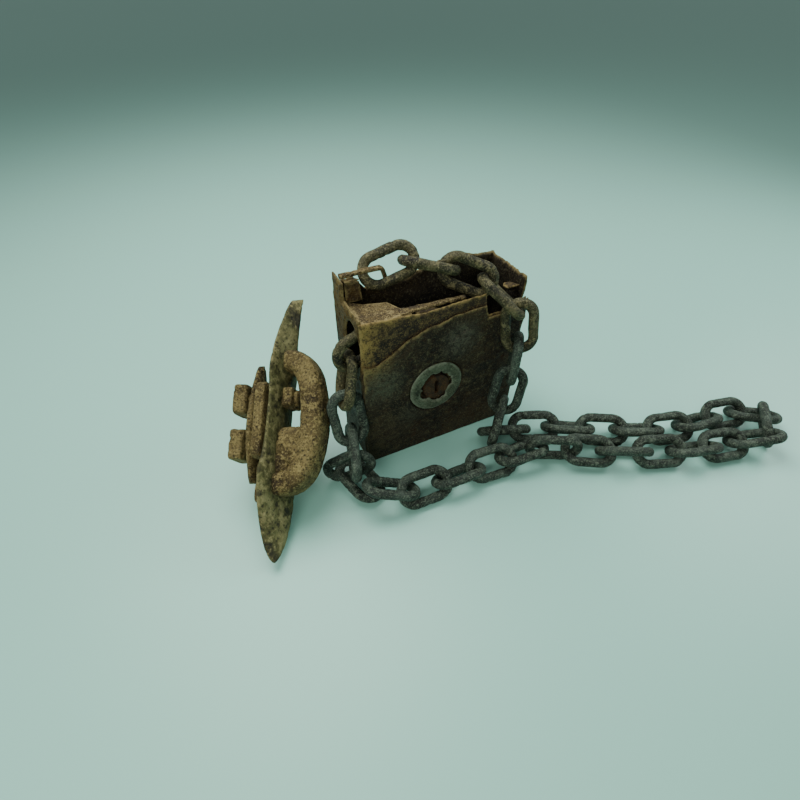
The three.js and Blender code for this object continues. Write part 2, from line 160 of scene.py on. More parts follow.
def gridFaces(nu, nv, wrapU, wrapV, start=0):
    u = np.arange(nu if wrapU else nu - 1)
    v = np.arange(nv if wrapV else nv - 1)
    a, b = np.meshgrid(u, v, indexing="ij")
    a2, b2 = (a + 1) % nu, (b + 1) % nv
    corners = [a * nv + b, a2 * nv + b, a2 * nv + b2, a * nv + b2]
    return np.stack(corners, -1).reshape(-1, 4) + start


def fanFaces(ring, pole):
    return np.stack([ring, np.roll(ring, -1), np.full(len(ring), pole)], -1)


def makePiece(name, shells, material, body, stands=(), smooth=True):
    # shells: list of (points, quads, triangles); all become one mesh with its faces turned outwards.
    points, faces, edges, start = [], [], [], 0
    for pts, quads, tris, *edge in shells:
        points.append(pts.reshape(-1, 3))
        edges.append(edge[0].reshape(-1) if edge else np.zeros(len(points[-1])))
        faces += (quads + start).tolist() + (np.asarray(tris, int).reshape(-1, 3) + start).tolist()
        start += len(points[-1])
    mesh = bpy.data.meshes.new(name)
    mesh.from_pydata(np.concatenate(points).tolist(), [], faces)
    mesh.attributes.new("edge", "FLOAT", "POINT").data.foreach_set("value",
            np.concatenate(edges).astype(np.float32))
    bm = bmesh.new()
    bm.from_mesh(mesh)
    bmesh.ops.recalc_face_normals(bm, faces=bm.faces)
    bm.to_mesh(mesh)
    bm.free()
    mesh.polygons.foreach_set("use_smooth", [smooth] * len(mesh.polygons))
    piece = bpy.data.objects.new(name, mesh)
    bpy.context.scene.collection.objects.link(piece)
    mesh.materials.append(material)
    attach(piece, body)
    if stands:
        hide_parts(*stands)
    return piece


def edgeRadius(outline, centre, angles):
    # Distance from the centre to the outline along each angle, to its nearest side.
    a = np.asarray(outline, float) - centre
    b = np.roll(a, -1, axis=0)
    d = np.stack([np.cos(angles), np.sin(angles)], -1)[:, None]
    e = b - a
    cross = d[..., 0] * e[:, 1] - d[..., 1] * e[:, 0]
    cross = np.where(np.abs(cross) < 1e-9, 1e-9, cross)
    t = (a[:, 0] * e[:, 1] - a[:, 1] * e[:, 0]) / cross
    s = (a[:, 0] * d[..., 1] - a[:, 1] * d[..., 0]) / cross
    t = np.where((s > -1e-6) & (s < 1 + 1e-6) & (t > 0), t, 1e9)
    return t.min(1)


def sheet(outline, centre, hole, axes, thick, ragged=0.6, relief=0.35, seed=1, rings=46, spokes=720,
          thin=0.5,
          keep=None, dish=None):
    # A plate as a closed skin: spokes run from a hole (or a pole) to the outline on one face, turn
    # round the edge and run back on the other. Noise roughens both faces, and the edge is ragged and thin.
    origin, axisA, axisB, axisN = [np.asarray(v, float) for v in axes]
    angles = np.linspace(0, 2 * np.pi, spokes, endpoint=False)
    around = np.stack([np.cos(angles), np.sin(angles)], -1)
    outer = edgeRadius(outline, centre, angles)
    tag = np.stack([around[:, 0] * outer, around[:, 1] * outer, np.full(spokes, seed * 7.3)], -1)
    bite = np.abs(roughNoise(tag, 5.0, seed, 4)) * ragged + np.clip(roughNoise(tag, 11.0, seed + 9, 2), 0,
            1) * ragged * 1.6
    if keep is not None:  # sides that stay straight
        edge = centre + around * outer[:, None]
        bite = bite * keep(edge[:, 0], edge[:, 1])
    outer = outer - bite
    if hole is None:
        inner = np.full(spokes, 0.4)
    elif callable(hole):
        inner = hole(angles)
    else:
        inner = np.full(spokes, float(hole))
    r = np.linspace(0, 1, rings) ** 0.8
    radius = inner[:, None] * (1 - r) + outer[:, None] * r
    flat = centre + around[:, None, :] * radius[..., None]
    toEdge = np.minimum(outer[:, None] - radius, 1e3 if hole is None else radius - inner[:, None])
    half = thick / 2 * (1 - thin + thin * ease(toEdge, 0, 2.2))
    half = np.where(toEdge < 1e-6, half * 0.35, half)
    point = origin + flat[..., :1] * axisA + flat[..., 1:] * axisB
    if dish is not None:
        point = point + dish(flat[..., 0], flat[..., 1])[..., None] * axisN
    faces = []
    for side in (1, -1):
        bump = roughNoise(point + side * 31.0, 9.0, seed + 20, 4) * relief
        bump -= pits(point + side * 17.0, 3.2, seed + 40, 0.4) * relief * 0.9
        bump += np.clip(roughNoise(point, 2.0, seed + 60, 2), 0, 1) * relief * 0.5
        bump += ease(roughNoise(point + side * 5.0, 13.0, seed + 80, 4), 0.02,
                     0.1) * relief * 0.7 - relief * 0.3
        bump = np.clip(bump, -half * 0.9, 0.15) * ease(toEdge, -0.5, 1.5)
        faces.append(point + side * (half + bump)[..., None] * axisN)
    skin = np.concatenate([faces[0], faces[1][:, ::-1]], 1)
    n = skin.shape[1]
    worn = np.clip(1 - (outer[:, None] - radius) / 1.8, 0, 1)
    if keep is not None:
        worn = worn * keep(flat[..., 0], flat[..., 1])
    if callable(hole):
        worn = np.maximum(worn, np.clip(1 - (radius - inner[:, None]) / 1.8, 0, 1))
    worn = np.concatenate([worn, worn[:, ::-1]], 1)
    if hole is not None:
        return skin * mm, gridFaces(spokes, n, True, True), [], worn
    poles = np.stack([faces[0][:, 0].mean(0), faces[1][:, 0].mean(0)])
    pts = np.concatenate([skin.reshape(-1, 3), poles])
    first, last = np.arange(spokes) * n, np.arange(spokes) * n + n - 1
    tris = np.concatenate([fanFaces(first, spokes * n), fanFaces(last, spokes * n + 1)])
    return pts * mm, gridFaces(spokes, n, True, False), tris, np.append(worn.reshape(-1), [0, 0])


def sweep(path, across, sizeA, sizeB, power=1.0, closed=False, sides=28, bump=None):
    # A superellipse carried along a path: across is its first axis at each point, sizes are half widths.
    path, across = np.asarray(path, float), np.asarray(across, float)
    ahead = np.roll(path, -1, 0) - np.roll(path, 1, 0)
    if not closed:
        ahead[0], ahead[-1] = path[1] - path[0], path[-1] - path[-2]
    ahead /= np.linalg.norm(ahead, axis=1)[:, None]
    a = across - ahead * (across * ahead).sum(1)[:, None]
    a /= np.linalg.norm(a, axis=1)[:, None]
    b = np.cross(ahead, a)
    t = np.linspace(0, 2 * np.pi, sides, endpoint=False)
    c, s = np.cos(t), np.sin(t)
    c, s = np.sign(c) * np.abs(c) ** power, np.sign(s) * np.abs(s) ** power
    sizeA = np.broadcast_to(sizeA, len(path))[:, None]
    sizeB = np.broadcast_to(sizeB, len(path))[:, None]
    out = a[:, None] * (c * sizeA)[..., None] + b[:, None] * (s * sizeB)[..., None]
    skin = path[:, None] + out
    if bump is not None:
        skin = skin + out / np.linalg.norm(out, axis=-1, keepdims=True) * bump(skin, t)[..., None]
    if closed:
        return skin * mm, gridFaces(len(path), sides, True, True), []
    ends = np.stack([path[0], path[-1]])
    n = len(path) * sides
    ring = np.arange(sides)
    tris = np.concatenate([fanFaces(ring, n), fanFaces(n - sides + ring, n + 1)])
    return np.concatenate([skin.reshape(-1, 3), ends]) * mm, gridFaces(len(path), sides, False, True), tris


def lump(centre, axes, half, power=0.3, bump=None, nu=72, nv=40):
    # A rounded block: a sphere whose sine and cosine are raised to a low power, so its sides flatten.
    axes = np.asarray(axes, float)
    u = np.linspace(0, 2 * np.pi, nu, endpoint=False)[:, None]
    v = np.linspace(-np.pi / 2, np.pi / 2, nv + 2)[1:-1][None]
    lift = lambda x: np.sign(x) * np.abs(x) ** power
    local = np.stack([
        lift(np.cos(u)) * lift(np.cos(v)) * half[0],
        lift(np.sin(u)) * lift(np.cos(v)) * half[1],
        np.broadcast_to(lift(np.sin(v)) * half[2], (nu, nv)),
    ], -1)
    poles = np.array([[0, 0, -half[2]], [0, 0, half[2]]], float)
    local = np.concatenate([local.reshape(-1, 3), poles])
    pts = np.asarray(centre, float) + local @ axes
    if bump is not None:
        outward = local / np.maximum(np.linalg.norm(local, axis=1, keepdims=True), 1e-6)
        pts = pts + (outward @ axes) * bump(pts)[:, None]
    ring = np.arange(nu) * nv
    tris = np.concatenate([fanFaces(ring, nu * nv), fanFaces(ring + nv - 1, nu * nv + 1)])
    return pts * mm, gridFaces(nu, nv, True, False), tris


# Materials.


def addNode(tree, kind, links=None, **settings):
    # Adds one node; settings are its properties, links are its inputs: a value or an output socket.
    node = tree.nodes.new(kind)
    for key, value in settings.items():
        setattr(node, key, value)
    for key, value in (links or {}).items():
        socket = node.inputs[key]
        if isinstance(value, bpy.types.NodeSocket):
            tree.links.new(value, socket)
        else:
            socket.default_value = value
    return node


def ramp(tree, factor, stops):
    node = addNode(tree, "ShaderNodeValToRGB", {"Fac": factor})
    node.color_ramp.elements.remove(node.color_ramp.elements[1])
    for i, (place, colour) in enumerate(stops):
        stop = node.color_ramp.elements[0] if i == 0 else node.color_ramp.elements.new(place)
        stop.position = place
        stop.color = linear(colour) if isinstance(colour, str) else [colour] * 3 + [1]
    return node.outputs["Color"]


def noiseNode(tree, coords, size, detail=6, rough=0.6, stretch=(1, 1, 1)):
    # size is a grain's width in mm
    place = addNode(tree, "ShaderNodeMapping", {"Vector": coords, "Scale": stretch})
    grain = addNode(
        tree, "ShaderNodeTexNoise",
        {"Vector": place.outputs[0], "Scale": 1 / (size * mm), "Detail": detail, "Roughness": rough},
    ).outputs["Fac"]
    return maths(tree, "MULTIPLY_ADD", grain, 1.7, third=-0.35)


def mixColour(tree, factor, a, b, kind="MIX"):
    node = addNode(tree, "ShaderNodeMix", data_type="RGBA", blend_type=kind)
    for index, value in ((0, factor), (6, a), (7, b)):
        if isinstance(value, bpy.types.NodeSocket):
            tree.links.new(value, node.inputs[index])
        else:
            node.inputs[index].default_value = linear(value) if isinstance(value, str) else value
    return node.outputs[2]


def maths(tree, operation, a, b=0.0, third=0.0):
    return addNode(tree, "ShaderNodeMath", {0: a, 1: b, 2: third}, operation=operation).outputs[0]


def nearTo(tree, coords, place, near, far):
    # 1 within near mm of a place, falling to 0 at far mm
    gap = addNode(tree, "ShaderNodeVectorMath", {0: coords, 1: [v * mm for v in place]},
                  operation="DISTANCE")
    return addNode(
        tree, "ShaderNodeMapRange",
        {"Value": gap.outputs["Value"], "From Min": near * mm, "From Max": far * mm, "To Min": 1.0,
         "To Max": 0.0},
    ).outputs[0]


def corroded(name, look):
    # Rusted iron seen close: a dark skin, patches of rust over it, dark pits, pale dusty edges to the
    # grain, almost no shine. look gives the colours and the sizes in mm.
    material = bpy.data.materials.new(name)
    material.use_nodes = True
    tree = material.node_tree
    shader = tree.nodes["Principled BSDF"]
    coords = addNode(tree, "ShaderNodeTexCoord").outputs["Object"]
    stretch = look.get("stretch", (1, 1, 1))
    broad = noiseNode(tree, coords, look["patch"], 5, 0.6)
    middle = noiseNode(tree, coords, look["grain"] * 4, 6, 0.65, stretch)
    fine = noiseNode(tree, coords, look["grain"], 4, 0.7, stretch)
    colour = ramp(tree, broad, look["broad"])
    second = ramp(tree, middle, look["middle"])
    share = ramp(tree, middle, [(0.38, 0.0), (0.62, look["mix"])])
    colour = mixColour(tree, share, colour, second)
    for place, near, far, tint in look.get("spots", []):
        mask = maths(tree, "MULTIPLY", nearTo(tree, coords, place, near, far),
                     ramp(tree, middle, [(0.3, 0.25), (0.6, 1.0)]))
        colour = mixColour(tree, mask, colour, tint)
    if "inside" in look:  # painted shade in the box: darker between its walls and deeper below its rim
        apart = addNode(tree, "ShaderNodeSeparateXYZ", {0: coords}).outputs
        halfWide, front, back, top = [v * mm for v in look["inside"]]
        mask = maths(tree, "LESS_THAN", maths(tree, "ABSOLUTE", apart[0]), halfWide)
        for operation, axis, limit in (("GREATER_THAN", 1, front), ("LESS_THAN", 1, back)):
            mask = maths(tree, "MULTIPLY", mask, maths(tree, operation, apart[axis], limit))
        depth = addNode(
            tree, "ShaderNodeMapRange", {"Value": apart[2], "From Min": top - 22 * mm, "From Max": top,
                                         "To Min": 1.0, "To Max": 0.0}
        ).outputs[0]
        # painted shade: inner walls mixed towards near-black, from 0.45 at the rim to 0.9 deep below it
        colour = mixColour(tree, maths(tree, "MULTIPLY", mask,
                                       maths(tree, "ADD", maths(tree, "MULTIPLY", depth, 0.45), 0.45)),
                           colour, "#0f0d0a")
    pitMap = addNode(
        tree, "ShaderNodeTexVoronoi", {"Vector": coords, "Scale": 1 / (look["pit"] * mm), "Randomness": 1.0}
    ).outputs["Distance"]
    pitDark = ramp(tree, pitMap, [(0.12, look["pitShade"]), (0.34, 1.0)])
    pitWhere = ramp(tree, broad, [(0.42, 0.0), (0.6, 1.0)])
    colour = mixColour(tree, pitWhere, colour, mixColour(tree, 1.0, colour, pitDark, "MULTIPLY"))
    colour = mixColour(tree, ramp(tree, fine, [(0.56, 0.0), (0.74, look["dust"])]), colour,
                       look["dustTint"])
    colour = mixColour(tree, ramp(tree, fine, [(0.28, 0.75), (0.44, 0.0)]), colour, look["dark"])
    worn = addNode(tree, "ShaderNodeAttribute", attribute_name="edge").outputs["Fac"]
    worn = maths(tree, "MULTIPLY", worn, ramp(tree, middle, [(0.3, 0.15), (0.6, 0.85)]))
    colour = mixColour(tree, worn, colour, look.get("edgeTint", look["dustTint"]))
    tree.links.new(colour, shader.inputs["Base Color"])
    rough = addNode(tree, "ShaderNodeMapRange", {"Value": fine, "To Min": look["rough"][0],
                                                 "To Max": look["rough"][1]})
    tree.links.new(rough.outputs[0], shader.inputs["Roughness"])
    shader.inputs["Metallic"].default_value = look.get("metal", 0.0)
    shader.inputs["Specular IOR Level"].default_value = look.get("shine", 0.3)
    height = maths(tree, "ADD", maths(tree, "MULTIPLY", fine, 0.6), maths(tree, "MULTIPLY", middle, 1.2))
    height = maths(tree, "ADD", height, maths(tree, "MULTIPLY", pitDark, 0.5))
    bump = addNode(tree, "ShaderNodeBump", {"Height": height, "Strength": look["bump"],
                                            "Distance": 0.5 * mm})
    tree.links.new(bump.outputs[0], shader.inputs["Normal"])
    return material


# Mild steel sheet rusted through: dark brown-black, olive and grey-green, ochre by the open corner; painted
# shade darkens its inner walls in the box.
rustedSheet = corroded("rusted_steel_sheet", {
    "patch": 26, "grain": 0.9, "pit": 2.6, "pitShade": 0.35, "mix": 0.75, "bump": 0.8,
    "broad": [(0.25, "#0c0908"), (0.42, "#1a130e"), (0.56, "#2a2014"), (0.75, "#3d3220")],
    "middle": [(0.3, "#110c09"), (0.5, "#2c2013"), (0.62, "#35301f"), (0.8, "#55503a")],
    "spots": [((-50, 4, 100), 3, 34, "#6b5527"), ((-46, -17, 74), 2, 15, "#857443"),
              ((-20, 19, 102), 3, 34, "#5a4726"),
              ((30, 19, 103), 3, 30, "#4a4029"), ((-48, 0, 88), 4, 22, "#53401f"),
              ((-40, -19, 58), 5, 17, "#46493a"), ((-44, -19, 20), 6, 26, "#3d3826"),
              ((8, -19, 74), 3, 15, "#4b4b40"), ((-22, -19, 30), 3, 12, "#35352a")],
    "inside": (48.2, -16.2, 17.4, 103), "shine": 0.2, "edgeTint": "#7a6f48",
    "dust": 0.45, "dustTint": "#6d6a52", "dark": "#0f0f0c", "rough": (0.45, 0.85),
})
# The inner sheet's flaking ochre rust: yellow-ochre scale, brown between its flakes.
ochreScale = corroded("ochre_rust_scale", {
    "patch": 12, "grain": 0.8, "pit": 2.0, "pitShade": 0.45, "mix": 0.8, "bump": 0.85,
    "broad": [(0.3, "#1d170e"), (0.45, "#3b301c"), (0.58, "#594c2b"), (0.72, "#746845")],
    "middle": [(0.35, "#1c160d"), (0.5, "#4b3e22"), (0.65, "#7b6f4b")],
    "dust": 0.5, "dustTint": "#a8996a", "dark": "#191209", "rough": (0.7, 0.95),
})
# The same sheet away from the corner: dull purple-brown.
innerSheet = corroded("rusted_inner_sheet", {
    "patch": 18, "grain": 0.8, "pit": 2.2, "pitShade": 0.45, "mix": 0.7, "bump": 0.7,
    "broad": [(0.3, "#17120d"), (0.5, "#2a2017"), (0.7, "#3b301e")],
    "middle": [(0.35, "#1a130d"), (0.55, "#382c1b"), (0.7, "#564a2e")],
    "spots": [((-50, -16, 100), 5, 19, "#8a7440"), ((-50, -16, 85), 3, 11, "#8a7440"),
              ((-50, -16, 75), 2, 8, "#7d6a3c"),
              ((-34, -16, 102), 3, 10, "#7d6a37"), ((-22, -16, 102), 2, 9, "#7d6a37"),
              ((-9, -16, 102), 2, 8, "#6b5f3a"),
              ((4, -16, 102), 2, 8, "#6b5f3a"), ((17, -16, 101), 2, 8, "#5c5538")],
    "dust": 0.4, "dustTint": "#857647", "dark": "#0f0b07", "rough": (0.7, 0.95),
})
# Tarnished nickel disc: pale grey-green with rust at its middle, faintly metallic.
tarnishedRose = corroded("tarnished_nickel", {
    "patch": 10, "grain": 0.7, "pit": 2.4, "pitShade": 0.6, "mix": 0.5, "bump": 0.4, "metal": 0.25,
    "broad": [(0.3, "#2f3528"), (0.5, "#49513f"), (0.7, "#5d6653")],
    "middle": [(0.35, "#2a2f22"), (0.6, "#575f4c")],
    "spots": [((-6, -19, 45), 6, 12, "#35291b")],
    "dust": 0.4, "dustTint": "#7b8370", "dark": "#14170f", "rough": (0.5, 0.75),
})
plugRust = corroded("rusted_plug", {
    "patch": 5, "grain": 0.6, "pit": 1.8, "pitShade": 0.3, "mix": 0.8, "bump": 0.7,
    "broad": [(0.3, "#1a130c"), (0.5, "#2f2214"), (0.7, "#4a361c")],
    "middle": [(0.35, "#150f0a"), (0.6, "#46301a")],
    "dust": 0.4, "dustTint": "#5d4c30", "dark": "#120d0a", "rough": (0.7, 0.95),
})
# Welded steel chain, long in water: dark grey-green, grain along the wire; the upper links are olive and
# yellowish, partly rust and partly a painted highlight.
chainLook = {
    "patch": 14, "grain": 0.8, "pit": 2.2, "pitShade": 0.4, "mix": 0.7, "bump": 0.85, "metal": 0.1,
    "broad": [(0.3, "#121a14"), (0.48, "#253029"), (0.6, "#34423a"), (0.75, "#47544a")],
    "middle": [(0.35, "#10150f"), (0.55, "#364239"), (0.7, "#5c6a5c")],
    "dust": 0.6, "dustTint": "#75836f", "dark": "#070907", "rough": (0.42, 0.75),
}
chainIron = corroded("weathered_chain_steel", chainLook)
chainOliveRustAndHighlight = corroded("chain_steel_olive_rust_and_painted_highlight", dict(
    chainLook,
    broad=[(0.3, "#1d1e13"), (0.48, "#35361f"), (0.6, "#4a492f"), (0.75, "#615e40")],
    middle=[(0.35, "#17170f"), (0.55, "#484730"), (0.7, "#75714f")], dustTint="#858161",
))
# Rusted cast iron: tan and ochre crust, peppered with dark pits, browner on its flanks.
castIron = corroded("rusted_cast_iron", {
    "patch": 20, "grain": 1.0, "pit": 2.3, "pitShade": 0.22, "mix": 0.75, "bump": 0.7,
    "broad": [(0.3, "#2a210e"), (0.45, "#463c1e"), (0.58, "#5b502e"), (0.72, "#736840")],
    "middle": [(0.35, "#20190b"), (0.5, "#4c4222"), (0.66, "#7b7045")],
    "dust": 0.5, "dustTint": "#8b8259", "dark": "#120d06", "rough": (0.7, 0.95),
})
hornIron = corroded("rusted_cast_iron_olive", {
    "patch": 18, "grain": 1.2, "pit": 2.6, "pitShade": 0.4, "mix": 0.7, "bump": 0.85,
    "stretch": (0.5, 0.35, 0.4),
    "broad": [(0.3, "#28281a"), (0.48, "#464728"), (0.6, "#5e5f3a"), (0.75, "#77764f")],
    "middle": [(0.35, "#1f1e13"), (0.55, "#53522f"), (0.7, "#7a7650")],
    "dust": 0.5, "dustTint": "#8c8860", "dark": "#121109", "rough": (0.65, 0.92),
})
dullSteel = corroded("dull_lock_steel", {
    "patch": 14, "grain": 0.8, "pit": 2.4, "pitShade": 0.5, "mix": 0.7, "bump": 0.7, "metal": 0.2,
    "broad": [(0.3, "#38342b"), (0.5, "#4f4a3d"), (0.7, "#655e4c")],
    "middle": [(0.35, "#2d2a23"), (0.6, "#5f5846")],
    "dust": 0.4, "dustTint": "#85806c", "dark": "#171511", "rough": (0.55, 0.85),
})
print("materials made")

# Table: painted steel bench top, pale grey-green, nearly smooth.

bench = bpy.data.materials.new("painted_bench")
bench.use_nodes = True
bench.node_tree.nodes["Principled BSDF"].inputs["Base Color"].default_value = linear("#93cbbd")
bench.node_tree.nodes["Principled BSDF"].inputs["Roughness"].default_value = 0.42
topMesh = bpy.data.meshes.new("benchTop")
topMesh.from_pydata([(-20, -20, 0), (20, -20, 0), (20, 20, 0), (-20, 20, 0)], [], [(0, 1, 2, 3)])
topMesh.materials.append(bench)
benchTop = bpy.data.objects.new("benchTop", topMesh)
bpy.context.scene.collection.objects.link(benchTop)


def boxOf(node):
    low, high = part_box(node)
    return np.array(low) / mm, np.array(high) / mm


# Case.

case = {"wall": 2.4, "slotHigh": 14.0, "slotWide": 10.3, "slotAt": (-4.5, 79.0)}
caseLow, caseHigh = boxOf("rear_case")
skinLow, skinHigh = boxOf("outer_skin")
plateLow, plateHigh = boxOf("front_plate")
left, right, back = caseLow[0], caseHigh[0], caseHigh[1]
trayFront, rim = caseLow[1], 100.0
hoodTop = caseHigh[2]
xAxis, yAxis, zAxis = np.eye(3)
wall = case["wall"]


def wavy(angles, seed, size):  # a ragged factor round a hole
    tag = np.stack([np.cos(angles) * 3, np.sin(angles) * 3, np.full(len(angles), seed * 1.7)], -1)
    return 1 + size * roughNoise(tag, 1.6, seed, 4)


def straightBelow(level):
    # Keeps the lower edges whole and lets the edges above this height be eaten away.
    return lambda a, b: ease(b, level - 6, level) * 1.0 + 0.12


def slotEdge(angles):
    c, s = np.cos(angles) / case["slotWide"], np.sin(angles) / case["slotHigh"]
    return np.minimum(wavy(angles, 5, 0.12), 1.0) / np.hypot(c, s)


backOutline = [(left, 0), (right, 0), (right, rim), (right - 12, rim + 0.5), (right - 20, rim + 3),
               (right - 30, rim + 2.4),
               (right - 42, rim + 2), (right - 62, rim - 2), (left + 17, rim - 3), (left + 17, rim + 5),
               (left, rim + 5)]
sideOutline = [(trayFront, 0), (back, 0), (back, rim), (trayFront, rim)]
shells = [
    sheet(backOutline, np.array([0, 50.0]), None, ((0, back - wall / 2, 0), xAxis, zAxis, yAxis), wall,
          1.2, 0.5, 3,
          rings=60, spokes=900, keep=straightBelow(90)),
    sheet(sideOutline, np.array(case["slotAt"]), slotEdge,
          ((left + wall / 2, 0, 0), yAxis, zAxis, -xAxis), wall, 0.5, 0.5, 7,
          rings=60, spokes=700, keep=straightBelow(94)),
    sheet([(back - 13.5, rim - 4), (back, rim - 4), (back, hoodTop), (back - 13.5, hoodTop)],
          np.array([back - 6.7, rim + 3.0]), None,
          ((left + wall / 2, 0, 0), yAxis, zAxis, -xAxis), wall * 0.96, 0.15, 0.4, 9, rings=20, spokes=240),
    sheet(sideOutline, np.array([2.0, 50]), None, ((right - wall / 2, 0, 0), yAxis, zAxis, xAxis), wall,
          1.6, 0.5, 11,
          rings=50, spokes=600, keep=straightBelow(88)),
    sheet([(left, trayFront), (right, trayFront), (right, back), (left, back)], np.array([0, 2.0]), None,
          ((0, 0, wall / 2), xAxis, yAxis, -zAxis), wall * 0.97, 0.1, 0.3, 13, rings=24, spokes=500),
]
makePiece("case_shell", shells, rustedSheet, "case", ["rear_case"])

roseLow, roseHigh = boxOf("cylinder_rose")
roseAt = np.array([(roseLow[0] + roseHigh[0]) / 2, (roseLow[2] + roseHigh[2]) / 2])
roseRadius = (roseHigh[0] - roseLow[0]) / 2
notch = {"x": 33.5, "half": 9.0, "z": 83.0}


def notchPoints(level):
    return [(notch["x"] + notch["half"] + 2, level), (notch["x"] + notch["half"], notch["z"]),
            (notch["x"] - notch["half"], notch["z"]), (notch["x"] - notch["half"] - 2, level)]


skinOutline = [(left, 0), (right, 0), (right, rim - 3), *notchPoints(rim - 9), (right - 50, rim - 10),
               (left + 44, rim - 11.5),
               (left + 32, rim - 14), (left + 26, rim - 16.5), (left + 20, rim - 20),
               (left + 13, rim - 24.5), (left + 8, rim - 27),
               (left + 3, rim - 27.4), (left, rim - 26)]
skinMiddle = (skinLow[1] + skinHigh[1]) / 2
skin = sheet(skinOutline, roseAt, roseRadius + 0.5, ((0, skinMiddle, 0), xAxis, zAxis, -yAxis),
             skinHigh[1] - skinLow[1], 1.1, 0.5, 17,
             rings=84, spokes=1000, thin=0.3, keep=straightBelow(60), dish=lambda x,
             z: -0.05 * ease(z, 60, 90))
makePiece("front_skin", [skin], rustedSheet, "case", ["outer_skin"])

plateOutline = [(left, 0), (right, 0), (right, rim - 1), *notchPoints(rim - 3), (right - 62, rim - 4),
                (left, rim - 1)]
plateMiddle = (plateLow[1] + plateHigh[1]) / 2
inner = sheet(plateOutline, roseAt, 9.0, ((0, plateMiddle, 0), xAxis, zAxis, -yAxis),
              plateHigh[1] - plateLow[1], 0.8, 0.5, 23,
              rings=80, spokes=1000, thin=0.35, keep=straightBelow(84))
makePiece("inner_front", [inner], innerSheet, "case", ["front_plate"])

topLow, topHigh = boxOf("top_plate")
topOutline = [(topLow[0], topLow[1]), (topHigh[0], topLow[1]), (topHigh[0] - 7, topLow[1] + 14.7),
              (topLow[0] + 7, topLow[1] + 18.7),
              (topLow[0], topHigh[1])]
top = sheet(topOutline, np.array([topLow[0] + 11, topLow[1] + 8]), None,
            ((0, 0, (topLow[2] + topHigh[2]) / 2), xAxis, yAxis, zAxis), topHigh[2] - topLow[2], 0.5,
            0.45, 29, rings=44, spokes=500)
makePiece("top_ledge", [top], ochreScale, "case", ["top_plate"])

# Torn shreds of the top that still hang inside the front rim.
shreds = []
for k, (x, y, z, size, lean) in enumerate([(2, -11, 90, 9, 0.5), (14, -10.5, 88, 8, 0.7),
                                           (-9, -10, 91.5, 7, 0.3), (44, -8, 92, 4.2, 0.2)]):
    slant = np.array([0, np.cos(lean), -np.sin(lean)])
    face = np.array([0, np.sin(lean), np.cos(lean)])
    shape = [(x - size, -3.6), (x + size, -3.6), (x + size * 0.6, 3.5), (x - size * 0.2, 4.6),
             (x - size * 0.9, 2)]
    shreds.append(sheet(shape, np.array([x, 0.0]), None, ((0, y, z), xAxis, slant, face), 1.6, 0.9, 0.4,
                        31 + k, rings=18, spokes=220))
makePiece("torn_shreds", shreds, innerSheet, "case", [])

# What is left of the lid: a folded tab at the back left corner, and a lip along the front rim.
tab = {"right": -38.3, "front": 6.5, "floor": 97.0, "top": 109.2}
tabMiddle = (left + tab["right"]) / 2
tabShells = [
    sheet([(left + 2.6, tab["floor"]), (tab["right"], tab["floor"]), (tab["right"] - 1, tab["top"] - 1),
           (left + 2.6, tab["top"])],
          np.array([tabMiddle, 103.0]), None, ((0, tab["front"], 0), xAxis, zAxis, -yAxis), 1.5, 0.3, 0.5,
          61, rings=26, spokes=320),
    sheet([(left + 2.6, tab["front"]), (tab["right"] - 1, tab["front"]), (tab["right"] - 3, 9.0),
           (left + 2.6, 9.0)],
          np.array([tabMiddle, 7.8]), None, ((0, 0, tab["top"] - 0.4), xAxis, yAxis, zAxis), 1.6, 0.3,
          0.4, 63, rings=16, spokes=300),
]
makePiece("corner_tab", tabShells, rustedSheet, "case", [])
lip = {"start": -26.0, "end": 11.0, "level": 96.6, "depth": 4.4}
lipPath = np.stack([np.linspace(lip["start"], lip["end"], 120), np.full(120, trayFront + 0.6),
                    np.full(120, lip["level"])], -1)
lipPath[:, 2] += roughNoise(lipPath, 9.0, 65, 2) * 0.5
lipReach = lip["depth"] / 2 * (1 - 0.72 * np.linspace(0, 1, 120) ** 0.7) + 0.5
lipPath[:, 1] += lipReach
lipSkin = sweep(lipPath, np.tile(yAxis, (120, 1)), lipReach, 0.85, 0.6, sides=40,
                bump=lambda p, t: roughNoise(p, 3.0, 67, 4) * 0.45 - pits(p, 2.4, 69, 0.4) * 0.35)
makePiece("front_lip", [lipSkin], ochreScale, "case", [])

strapLow = boxOf("chain_strap")[0]
strap = {"half": 1.6, "thick": 1.2, "level": 110.8}
knots = np.array([(strapLow[0] + 0.6, 10, strap["level"]), (-40, 10, strap["level"]),
                  (-31, 10, strap["level"]), (-26.5, 10, 110.4),
                  (-25, 10.5, 109.3), (-23.2, 12.4, 105.2), (-21.2, 14.6, 99.5), (-20, 15.5, 95.6)])
steps = np.linspace(0, len(knots) - 1, 90)
strapPath = np.stack([np.interp(steps, np.arange(len(knots)), knots[:, k]) for k in range(3)], -1)
across = np.tile([0, 1.0, 0.12], (90, 1))
bumpy = lambda p, t: roughNoise(p, 4.0, 71, 3) * 0.25 - pits(p, 2.2, 73, 0.4) * 0.3
strapSkin = sweep(strapPath, across, strap["half"] - 0.15, strap["thick"] - 0.15, 0.45, bump=bumpy,
                  sides=32)
makePiece("chain_strap_worn", [strapSkin], ochreScale, "case", ["chain_strap"])
print("case made")

# Lock cylinder.

rose = {"thick": 1.9, "plugHole": 8.4}


def roseHole(angles):  # the rusted middle is a little wider than its plug, and never narrower
    return rose["plugHole"] * np.clip(wavy(angles, 41, 0.55) + 0.12, 1.0, 1.45)


